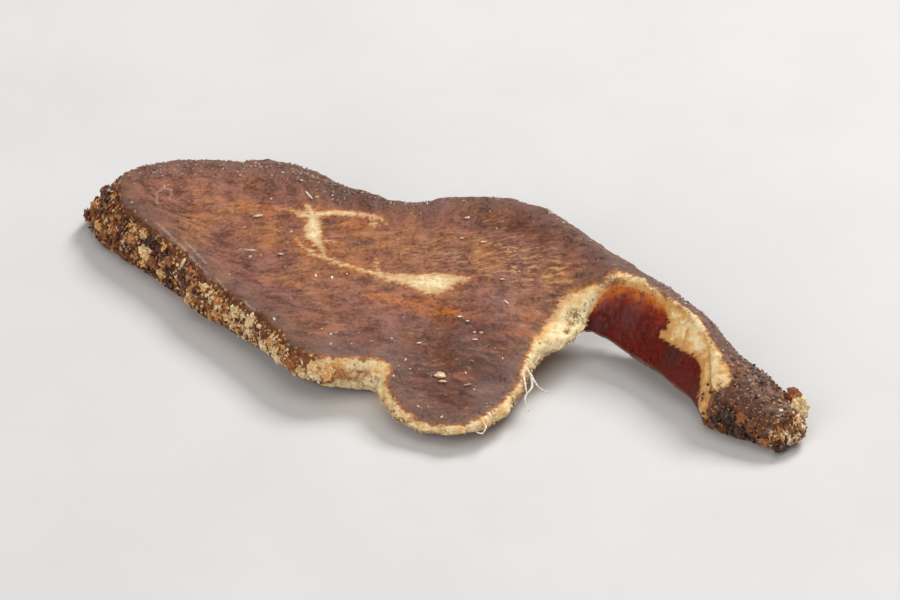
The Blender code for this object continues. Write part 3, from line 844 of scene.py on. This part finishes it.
class Wire:
    """A node's output, which adds, subtracts and multiplies like a number."""

    def __init__(self, socket):
        self.socket, self.tree = socket, socket.id_data

    def reckon(self, operation, a, b):
        return node(self.tree, "ShaderNodeMath", {0: a, 1: b}, operation=operation)

    def __add__(self, other):
        return self.reckon("ADD", self, other)

    def __sub__(self, other):
        return self.reckon("SUBTRACT", self, other)

    def __rsub__(self, other):
        return self.reckon("SUBTRACT", other, self)

    def __mul__(self, other):
        return self.reckon("MULTIPLY", self, other)

    __rmul__ = __mul__


def feed(socket, value):
    """Link a wire to the socket or set its value, where a colour is three numbers."""
    if isinstance(value, Wire):
        value.tree.links.new(value.socket, socket)
    else:
        socket.default_value = (*value, 1) if socket.type == "RGBA" else value


def node(tree, kind, inputs=(), output=0, **settings):
    """Add a node, and return one of its outputs."""
    made = tree.nodes.new(kind)
    for name, value in settings.items():
        setattr(made, name, value)
    for key, value in dict(inputs).items():
        feed(made.inputs[key], value)
    return Wire(made.outputs[output])


def fade(value, low, high, start=0.0, end=1.0):
    """The value mapped from low..high to start..end, smoothly and clamped."""
    return node(value.tree, "ShaderNodeMapRange", {"Value": value, "From Min": low, "From Max": high,
                                                   "To Min": start, "To Max": end},
                "Result", interpolation_type="SMOOTHSTEP")


def blend(share, a, b):
    """The first colour where the share is 0, and the second where it is 1."""
    return node(share.tree, "ShaderNodeMix", {0: share, 6: a, 7: b}, 2, data_type="RGBA")


def layered(colour, *layers):
    """The colour with layers over it, each a share and a colour."""
    for share, layer in layers:
        colour = blend(share, colour, layer)
    return colour


def tinted(colour, tint):
    """The colour multiplied by the tint."""
    return node(colour.tree, "ShaderNodeMix", {0: 1.0, 6: colour, 7: tint}, 2,
                data_type="RGBA", blend_type="MULTIPLY")


def attribute(tree, name):
    return node(tree, "ShaderNodeAttribute", (), "Fac", attribute_name=name)


def cloud(place, scale, detail=3.0, rough=0.55):
    return node(place.tree, "ShaderNodeTexNoise", {"Vector": place, "Scale": scale, "Detail": detail,
                                                   "Roughness": rough}, "Fac")


def places_mm(tree):
    """The object's own coordinates in millimetres."""
    coords = node(tree, "ShaderNodeTexCoord", (), "Object")
    return node(tree, "ShaderNodeVectorMath", {0: coords, "Scale": 1 / MM}, operation="SCALE")


def bumps(height, depth_mm):
    """The surface's normal with small bumps of the given height."""
    return node(height.tree, "ShaderNodeBump", {"Height": height, "Strength": 0.5, "Distance": depth_mm * MM})


def new_material(name):
    material = bpy.data.materials.new(name)
    material.use_nodes = True
    return material, material.node_tree, material.node_tree.nodes["Principled BSDF"]


def set_shader(shader, **values):
    """Set the shader's sockets by name, with spaces written as underscores."""
    for name, value in values.items():
        feed(shader.inputs[name.replace("_", " ")], value)


# Colours of the slice, as linear values.
MAUVE = (0.235, 0.092, 0.060)
BROWN = (0.320, 0.122, 0.043)
DEEP = (0.085, 0.024, 0.012)
PALE = (0.56, 0.33, 0.19)
BLOOM_AND_SHEEN = (0.170, 0.108, 0.083)
PALE_EDGE_AND_HIGHLIGHT = (0.46, 0.31, 0.22)
PALE_LINE_AND_HIGHLIGHT = (0.62, 0.46, 0.34)
GREYED = (0.185, 0.080, 0.058)
GLOW = (0.50, 0.145, 0.013)
GOLD = (0.60, 0.36, 0.14)
FAT_THIN = (0.58, 0.34, 0.165)
FAT = (0.74, 0.50, 0.25)
FAT_PALE = (0.94, 0.78, 0.46)
FAT_GOLD = (0.92, 0.58, 0.22)
FAT_AMBER = (0.64, 0.31, 0.095)
FAT_PIT = (0.20, 0.070, 0.025)
RED = (0.140, 0.007, 0.002)
BACKLIT_RED = (0.300, 0.030, 0.006)
DARK_RED = (0.040, 0.004, 0.003)
RED_BROWN = (0.42, 0.12, 0.030)
BACKLIT_ORANGE = (0.62, 0.16, 0.012)
PURPLE = (0.075, 0.022, 0.018)
CRUST_DARK = (0.050, 0.021, 0.012)
CRUST_RED = (0.200, 0.064, 0.021)
CRUST_GLOW = (0.30, 0.095, 0.028)
CRUST_GOLD = (0.52, 0.28, 0.095)
CRUMBLY = (0.110, 0.033, 0.015)
CRUMBLY_TOP = (0.180, 0.096, 0.056)

# Tints, which other colours are multiplied by.
# SHADE_TINT is painted shade: the meat is multiplied by it where the shade value is high.
SHADE_TINT = (0.42, 0.33, 0.28)
FIBRE_TINTS = ((0.43, 0.36, 0.34), (1.64, 1.70, 1.75))
CRUMB_TINTS = ((0.55, 0.5, 0.45), (1.25, 1.2, 1.15))

# Tones of the loose pieces, from the darkest to the palest, and colours of the floor.
SPICE_TONES = ((0.0, (0.022, 0.010, 0.007)), (0.28, (0.105, 0.032, 0.013)), (0.50, (0.33, 0.105, 0.028)),
               (0.68, (0.60, 0.255, 0.072)), (0.84, (0.86, 0.52, 0.21)), (1.0, (0.97, 0.80, 0.50)))
SALT_TONES = ((0.0, (0.42, 0.22, 0.12)), (0.5, (0.78, 0.55, 0.32)), (1.0, (0.95, 0.86, 0.70)))
DRY_TONES = ((0.0, (0.13, 0.07, 0.05)), (0.5, (0.30, 0.20, 0.15)), (1.0, (0.60, 0.46, 0.35)))
FLOOR = ((0.66, 0.65, 0.64), (0.69, 0.68, 0.67))


def cut_face_colour(looks):
    """Dried meat: mauve to brown, with dark and pale fibres, a painted orange glow by the fat, painted shade
    over the lobe, a grey film near the rim that is partly a painted sheen, and pale lines that are partly
    painted highlights.
    """
    warmth = 0.8 * looks.warm + fade(looks.broad, 0.38, 0.64, -0.35, 0.5)
    # Painted glow: orange where the glow value is high.
    glow = looks.glow * fade(looks.streak, 0.35, 0.6, 0.45, 1.0)
    colour = layered(MAUVE, (warmth, BROWN), (glow, GLOW))
    # Painted shade: the meat darkens by SHADE_TINT over the lobe, the neck, the back edges and the front.
    colour = layered(colour, (fade(looks.shade, 0.0, 1.0), tinted(colour, SHADE_TINT)),
                     (fade(looks.patches, 0.52, 0.64, 0.0, 0.6), GREYED))
    texture = 0.22 * looks.streak + 0.38 * looks.mottle + 0.4 * looks.fine
    colour = tinted(colour, blend(fade(texture, 0.375, 0.625), *FIBRE_TINTS))

    pale = fade(looks.thread, 0.55, 0.72) * fade(looks.broad, 0.4, 0.6)
    threads = fade(looks.thread, 0.46, 0.72) * looks.golden
    on_face = fade(looks.depth, 0.05, 0.4, 1.0, 0.2)
    # Greyed within a few millimetres of the rim: a grey film, partly a painted sheen.
    bloom_and_sheen = fade(looks.inset, 3.2, 0.3) * fade(looks.fine, 0.38, 0.6, 0.1, 0.95)
    # A pale line along the rounded upper edge, partly a painted highlight.
    rim_line = fade(looks.inset, 0.5, 0.1) * fade(looks.fine, 0.50, 0.64)
    # Pale lines, some of them painted highlights.
    faint_line_and_highlight = fade(looks.line + 0.5 * looks.ragged, -0.16, 0.1, 0.0, 0.55)
    return layered(colour, (fade(looks.grain, 0.38, 0.28, 0.0, 0.3), DEEP), (0.4 * pale, PALE),
                   (0.85 * threads, GOLD), (bloom_and_sheen * on_face, BLOOM_AND_SHEEN), (rim_line * on_face, PALE_EDGE_AND_HIGHLIGHT),
                   (faint_line_and_highlight, PALE_LINE_AND_HIGHLIGHT))


def fat_colour(looks, fatness):
    """Fat: tan where it is thin, cream and white where it is thick; amber and pitted at the rim; painted
    lighter on the front rim, as if brightly lit.
    """
    at_rim = fade(looks.inset, 2.6, 1.6)
    thin = blend(at_rim, FAT_THIN, FAT_AMBER)
    full = fade(looks.strip, 0.2, 0.8, 0.6, 1.1)
    colour = blend(fade(fatness, -0.05, full), thin, blend(at_rim, FAT, FAT_GOLD))
    # Painted light: the front rim's fat below its upper edge is whitened.
    front = looks.glow * fade(looks.depth, 0.1, 0.4)
    uneven = looks.strip * looks.middling
    whiteness = (0.7 * fatness + 2.2 * looks.middling - 1.7 * looks.strip + 1.8 * uneven
                 + 0.35 * fade(looks.inset, 0.9, 0.2) + 0.45 * front)
    stained = looks.strip * fade(looks.middling, 0.48, 0.36, 0.0, 0.8)
    hollow = fade(looks.hollow, 0.3, 0.75) * fade(looks.fine, 0.62, 0.42)
    lines = fade(looks.streak, 0.52, 0.68) * fade(looks.depth, 0.1, 0.4, 0.45, 0.0)
    pits = fade(cloud(looks.place, 1.4, 3.0, 0.6), 0.60, 0.68) * fade(looks.inset, 1.6, 1.0)
    return layered(colour, (fade(whiteness, 1.2, 2.0), FAT_PALE), (stained, FAT_AMBER),
                   (hollow * fade(looks.inset, 2.6, 2.2, 0.35, 1.0), FAT_PIT), (lines, thin),
                   (fade(looks.fine, 0.50, 0.35, 0.0, 0.55), thin),
                   (pits * fade(looks.strip, 0.2, 0.8, 0.7, 0.2), FAT_PIT))


def strip_colour(looks):
    """The clear red edge of the strip: a painted glow of light through its upper edge, orange under that
    edge, then red, purple in places.
    """
    # Painted backlight: orange, then bright red, fading to red with depth below the upper edge.
    level = looks.depth + 3.0 * looks.middling
    return layered(BACKLIT_ORANGE, (fade(level, 1.5, 2.9), BACKLIT_RED), (fade(level, 2.6, 4.2), RED),
                   (fade(looks.broad, 0.5, 0.62, 0.0, 0.75), PURPLE),
                   (fade(looks.fine, 0.50, 0.36, 0.0, 0.7), DARK_RED),
                   (fade(looks.fine, 0.58, 0.74, 0.0, 0.5), RED_BROWN))


def crumbly_colour(looks):
    """The loose crust on the strip: grey-brown on its top, darker over its end, with pale bits."""
    return layered(CRUMBLY, (fade(looks.mottle, 0.38, 0.6), CRUMBLY_TOP), (looks.end, CRUMBLY),
                   (fade(looks.fine, 0.46, 0.34), CRUST_DARK),
                   (fade(looks.fine, 0.55, 0.68, 0.0, 0.8), PALE))


def crust_colour(looks):
    """The crust between the larger seeds: dark, red-brown and gold grit, with a painted warm glow where the
    glow value is high.
    """
    tree = looks.place.tree
    gap = node(tree, "ShaderNodeTexVoronoi", {"Vector": looks.place, "Scale": 2.6}, "Distance")
    own_colour = Wire(gap.socket.node.outputs["Color"])
    chip = node(tree, "ShaderNodeSeparateColor", {"Color": own_colour}, 1)
    # CRUST_GLOW is a painted glow of light through the thin crust at the left tip and the front rim.
    return layered(CRUST_DARK, (fade(looks.fine, 0.38, 0.54), CRUST_RED),
                   (fade(looks.glow, 0.1, 0.8, 0.0, 0.7), CRUST_GLOW),
                   (fade(chip, 0.55, 0.6) * fade(gap, 0.45, 0.3), CRUST_GOLD))


def meat_looks(tree, names):
    """The named values that the mesh carries, and the textures that the colours share."""
    looks = SimpleNamespace(**{name: attribute(tree, name) for name in names})

    def stretched(along_scale, across_scale):
        """Texture coordinates that follow the muscle's grain."""
        return node(tree, "ShaderNodeCombineXYZ", {"X": looks.along * along_scale,
                                                   "Y": looks.across * across_scale})

    fibres = stretched(0.4, 1.4)
    looks.place = places_mm(tree)
    looks.broad = cloud(looks.place, 0.22, 3.0)
    looks.middling = cloud(looks.place, 0.8, 4.0, 0.6)
    looks.fine = cloud(looks.place, 3.0, 5.0, 0.7)
    looks.streak = cloud(fibres, 1.0, 3.0, 0.6)
    looks.thread = cloud(fibres, 2.4, 2.0, 0.6)
    looks.mottle = cloud(stretched(0.5, 0.8), 1.0, 4.0, 0.65)
    looks.patches = cloud(stretched(0.14, 0.35), 1.0, 3.0, 0.6)
    looks.grain = cloud(stretched(1.2, 2.6), 1.0, 2.0, 0.6)
    looks.ragged = 0.9 * (looks.fine - 0.5)
    return looks


def meat_material(names):
    """The whole slice: its cut face, fat seams and rim, crusted side and clear red edge."""
    material, tree, shader = new_material("biltong_meat")
    looks = meat_looks(tree, names)
    fatness = looks.fat + (looks.ragged + 0.9 * (looks.thread - 0.5))
    fat = fat_colour(looks, fatness)
    clear = blend(fade(fatness, -0.2, 0.15), strip_colour(looks), fat)
    uneven = looks.middling - 0.5
    crusted = fade(looks.inset + 1.6 * uneven, 0.5, 0.2) * fade(looks.crust + 1.2 * uneven, 0.22, 0.36)
    # The orange GLOW round the fat is a painted glow.
    face = layered(cut_face_colour(looks), (fade(fatness, -0.5, 0.0, 0.0, 0.4), GLOW),
                   (0.9 * looks.crumbly, crumbly_colour(looks)),
                   (fade(fatness, -0.12 - 0.45 * looks.glow, 0.24), fat),
                   (fade(looks.strip, 0.3, 0.7), clear), (crusted, crust_colour(looks)))
    gloss = fade(looks.strip, 0.3, 0.7, 0.5, 0.34) + fade(looks.fine, 0.3, 0.7, -0.1, 0.12)
    set_shader(shader, Base_Color=face, Roughness=gloss, Specular_IOR_Level=0.26,
               Normal=bumps(0.6 * looks.fine + 0.2 * looks.thread, 0.2),
               Subsurface_Weight=0.15, Subsurface_Radius=(1.0, 0.28, 0.12), Subsurface_Scale=0.6 * MM)
    return material


def crumb_material(name, tones, roughness, subsurface):
    """Dry spice, salt or fat: each lump takes its tone from a short row of colours, with fine mottling."""
    material, tree, shader = new_material(name)
    colour = node(tree, "ShaderNodeValToRGB", {"Fac": attribute(tree, "tone")})
    stops = colour.socket.node.color_ramp.elements
    while len(stops) < len(tones):
        stops.new(0.5)
    for stop, (at, tone) in zip(stops, tones):
        stop.position = at
        stop.color = (*tone, 1)
    fine = cloud(places_mm(tree), 4.5, 4.0, 0.7)
    darker, lighter = (tinted(colour, tint) for tint in CRUMB_TINTS)
    set_shader(shader, Base_Color=blend(fade(fine, 0.35, 0.7), darker, lighter), Roughness=roughness,
               Normal=bumps(fine, 0.1), Subsurface_Weight=subsurface, Subsurface_Radius=(1.0, 0.5, 0.25),
               Subsurface_Scale=0.4 * MM)
    return material


def floor_material():
    material, tree, shader = new_material("pale_floor")
    grain = fade(cloud(places_mm(tree), 0.05, 4.0), 0.3, 0.7)
    set_shader(shader, Base_Color=blend(grain, *FLOOR), Roughness=0.6, Specular_IOR_Level=0.3)
    return material


def make_slice():
    shell = slice_shell()
    biltong = shell.object("biltong_cut_face")
    dress(biltong, meat_material(shell.values))
    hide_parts("biltong_slice")


def make_crust():
    """The spice on the rim: large husks as in the solid, and finer crumbs between them."""
    spice = crumb_material("crushed_coriander", SPICE_TONES, 0.24, 0.15)
    husks = seed_places(random.Random(SEED))
    chance = random.Random(SEED + 1)
    scatter(chance, "coriander_husks", spice, husks, 3, SEED_FLATNESS, 0.6)
    chips = rim_scatter(chance, 900, (0.4, 1.1), 0.12)
    scatter(chance, "coriander_chips", spice, chips, 1, (1.0, 0.65, 0.28), 0.5)
    crumbs = rim_scatter(chance, 3000, (0.15, 0.45), 0.22)
    crumbs += top_scatter(chance, 240, (0.18, 0.6), 0.1, (27.0, FAR))
    scatter(chance, "spice_crumbs", spice, crumbs, 1, (1.0, 0.8, 0.6), 0.5)


def make_specks():
    """Salt and spice specks, slivers and torn fibres on the cut face, and pale specks on the crust as painted
    glints.
    """
    pale = crumb_material("salt_specks", SALT_TONES, 0.35, 0.3)
    chance = random.Random(SEED + 2)
    specks = top_scatter(chance, 160, (0.13, 0.45), 0.4)
    scatter(chance, "salt_specks", pale, specks, 1, (1.0, 0.65, 0.35), 0.5)
    shreds = fat_shreds(chance, 420)
    shreds += top_scatter(chance, 130, (0.2, 0.6), 0.0, (12.5, 18.5), (-FAR, 8.0), 0.8, 9.0)
    # Pale specks on the crusted rim: painted glints.
    shreds += rim_scatter(chance, 260, (0.12, 0.34), 0.3)
    scatter(chance, "fat_shreds", pale, shreds, 1, (1.0, 0.5, 0.3), 0.6)
    scatter(chance, "pale_slivers", pale, sliver_places(), 2, (1.0, 1.0, 1.0), 0.6)
    dress(whiskers(), pale)
    grey = crumb_material("dry_grains", DRY_TONES, 0.5, 0.1)
    grains = top_scatter(chance, 420, (0.12, 0.4), 0.0, (-FAR, -4.0), (3.0, FAR), 1.1)
    grains += top_scatter(chance, 420, (0.12, 0.4), 1.0, (-FAR, -14.0), (3.0, FAR), 2.6)
    grains += top_scatter(chance, 260, (0.12, 0.36), 0.0, (-4.0, FAR), (8.0, FAR), 0.9)
    grains += top_scatter(chance, 420, (0.15, 0.5), 0.0, (16.0, FAR))
    scatter(chance, "dry_grains", grey, grains, 1, (1.0, 0.8, 0.4), 0.5)


# The stage: directions are azimuth and elevation in degrees, and its other measures are in metres.
# Each light has a name, a direction, a distance, a size and its watts.
LIGHTS = (("key", (172, 46), 0.55, 0.2, 2.4), ("top", (60, 78), 0.6, 0.5, 1.0),
          ("front", (355, 34), 0.8, 0.5, 2.5))
FLOOR_REACH = 1.5
SKY = (1.0, 0.98, 0.96)
SKY_STRENGTH = 0.22
VIEW = (27, 35)
VIEW_DISTANCE = 0.5
VIEW_LENS = 220          # focal length in millimetres, on a sensor 36 mm wide
AIM_HEIGHT = 5.0         # millimetres over the table


def stand(name, data, direction, distance, aim=Vector()):
    """Place a light or the camera at a distance from its aim, and turn it to face that."""
    azimuth, elevation = (math.radians(angle) for angle in direction)
    back = Vector((math.sin(azimuth) * math.cos(elevation), -math.cos(azimuth) * math.cos(elevation),
                   math.sin(elevation)))
    thing = bpy.data.objects.new(name, data)
    thing.location = aim + back * distance
    thing.rotation_euler = back.to_track_quat("Z", "Y").to_euler()
    bpy.context.scene.collection.objects.link(thing)
    return thing


def make_stage():
    """A pale floor, soft lights and the camera at the photograph's angle."""
    shell = bmesh.new()
    bmesh.ops.create_grid(shell, x_segments=1, y_segments=1, size=FLOOR_REACH)
    mesh = bpy.data.meshes.new("floor")
    shell.to_mesh(mesh)
    shell.free()
    floor = bpy.data.objects.new("floor", mesh)
    bpy.context.scene.collection.objects.link(floor)
    floor.data.materials.append(floor_material())

    for name, direction, distance, size, watts in LIGHTS:
        light = bpy.data.lights.new(name, "AREA")
        light.energy, light.size = watts, size
        stand(name, light, direction, distance)

    scene = bpy.context.scene
    scene.world = bpy.data.worlds.new("studio")
    scene.world.use_nodes = True
    sky = scene.world.node_tree.nodes["Background"]
    sky.inputs["Color"].default_value = (*SKY, 1)
    sky.inputs["Strength"].default_value = SKY_STRENGTH
    scene.view_settings.view_transform = "Standard"

    camera = bpy.data.cameras.new("camera")
    camera.sensor_width = 36
    camera.lens = VIEW_LENS
    camera.clip_start, camera.clip_end = 0.01, 10
    aim = Vector((-ORIGIN[0], -ORIGIN[1], AIM_HEIGHT)) * MM
    scene.camera = stand("camera", camera, VIEW, VIEW_DISTANCE, aim)


make_slice()
make_crust()
make_specks()
make_stage()
